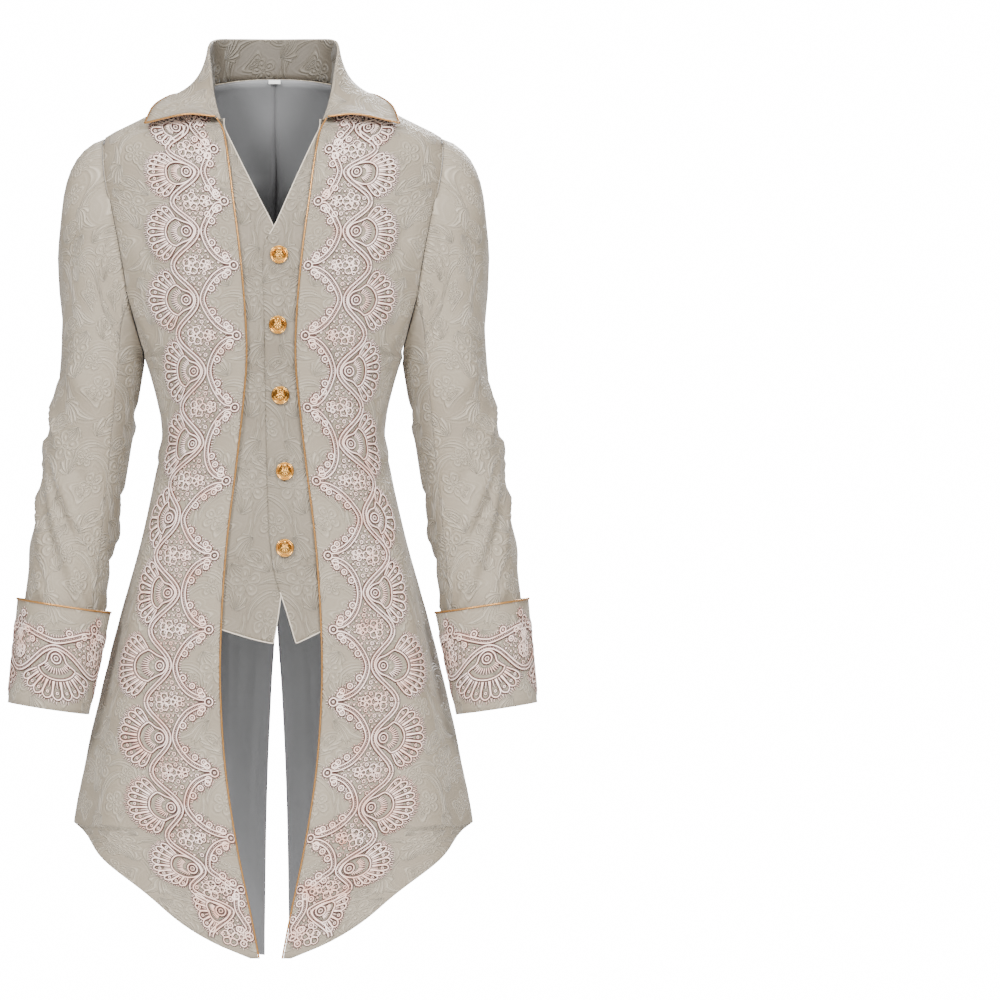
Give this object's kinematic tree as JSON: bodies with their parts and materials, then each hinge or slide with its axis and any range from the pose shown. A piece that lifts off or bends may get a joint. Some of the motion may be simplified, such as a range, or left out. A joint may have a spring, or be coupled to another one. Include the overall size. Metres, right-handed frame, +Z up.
{
  "type": "tailcoat",
  "caption": "Men's historic tailcoat with mock waistcoat, swallow tails, turned-back cuffs and lace down the front, filled out as if worn and hollow inside.",
  "frame": {"origin": "middle of the neck base, where the shoulders carry the coat", "axes": "+Z up, -Y towards the front of the coat, +X towards the wearer's left"},
  "size_m": [0.6604, 0.2993, 1.1552],
  "materials": {
    "brocade": "matte",
    "satin": "satin",
    "lace": "matte",
    "gold_cord": "satin",
    "gold_metal": "polished",
    "tape": "matte"
  },
  "bodies": {
    "root": {"front_left": "brocade", "front_right": "brocade", "side_back_left": "brocade", "side_back_right": "brocade", "back_left": "brocade", "back_right": "brocade", "vest_left": "brocade", "vest_right": "brocade", "sleeve_top_left": "brocade", "sleeve_top_right": "brocade", "sleeve_under_left": "brocade", "sleeve_under_right": "brocade", "cuff_left": "brocade", "cuff_right": "brocade", "collar_stand": "brocade", "collar_leaf": "brocade", "lining_back_left": "satin", "lining_back_right": "satin", "lace_front_left": "lace", "lace_front_right": "lace", "lace_cuff_front_left": "lace", "lace_cuff_front_right": "lace", "lace_cuff_back_left": "lace", "lace_cuff_back_right": "lace", "piping_front_left": "gold_cord", "piping_front_right": "gold_cord", "piping_cuff_left": "gold_cord", "piping_cuff_right": "gold_cord", "piping_collar_left": "gold_cord", "piping_collar_right": "gold_cord", "piping_collar_back": "gold_cord", "button_1": "gold_metal", "button_2": "gold_metal", "button_3": "gold_metal", "button_4": "gold_metal", "button_5": "gold_metal", "neck_label": "tape"}
  },
  "joints": []
}
